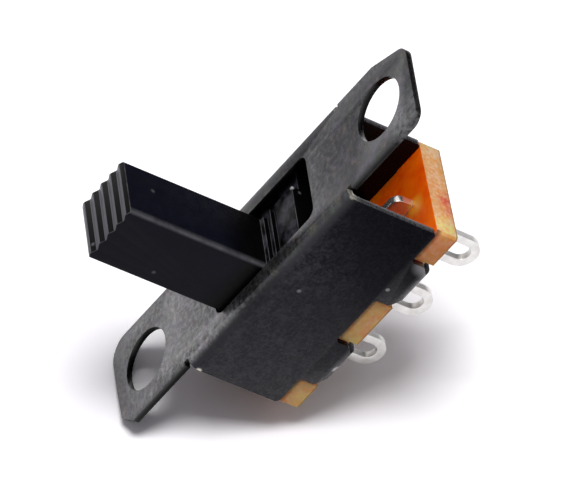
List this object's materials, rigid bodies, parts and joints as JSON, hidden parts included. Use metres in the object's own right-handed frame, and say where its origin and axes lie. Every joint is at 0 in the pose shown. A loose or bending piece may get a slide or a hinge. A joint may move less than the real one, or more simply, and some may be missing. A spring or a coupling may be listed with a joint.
{
  "type": "slide switch",
  "caption": "Miniature slide switch: a ribbed knob slides in a steel frame with two mounting ears, above solder lugs on a laminate board.",
  "frame": {"origin": "middle of the frame's top face, halfway between the two mounting holes", "axes": "+X along the travel, from the closed end of the stroke to the other; +Z out of the panel, towards the knob's tip"},
  "size_m": [0.019, 0.005, 0.0137],
  "materials": {
    "frame": "blackened, satin",
    "base_board": "laminate, glossy face and sawn edges",
    "terminal": "silver plated",
    "slider": "moulded, satin",
    "contact_bridge": "rolled",
    "contact_spring": "drawn wire"
  },
  "bodies": {
    "housing": {"frame": "frame", "base_board": "base_board", "terminal_left": "terminal", "terminal_common": "terminal", "terminal_right": "terminal"},
    "slider": {"slider": "slider", "contact_bridge": "contact_bridge", "contact_spring": "contact_spring"}
  },
  "joints": [
    {"name": "knob_slide", "type": "slide", "parent": "housing", "child": "slider", "axis": [1, 0, 0], "range_m": [0, 0.00328]}
  ]
}
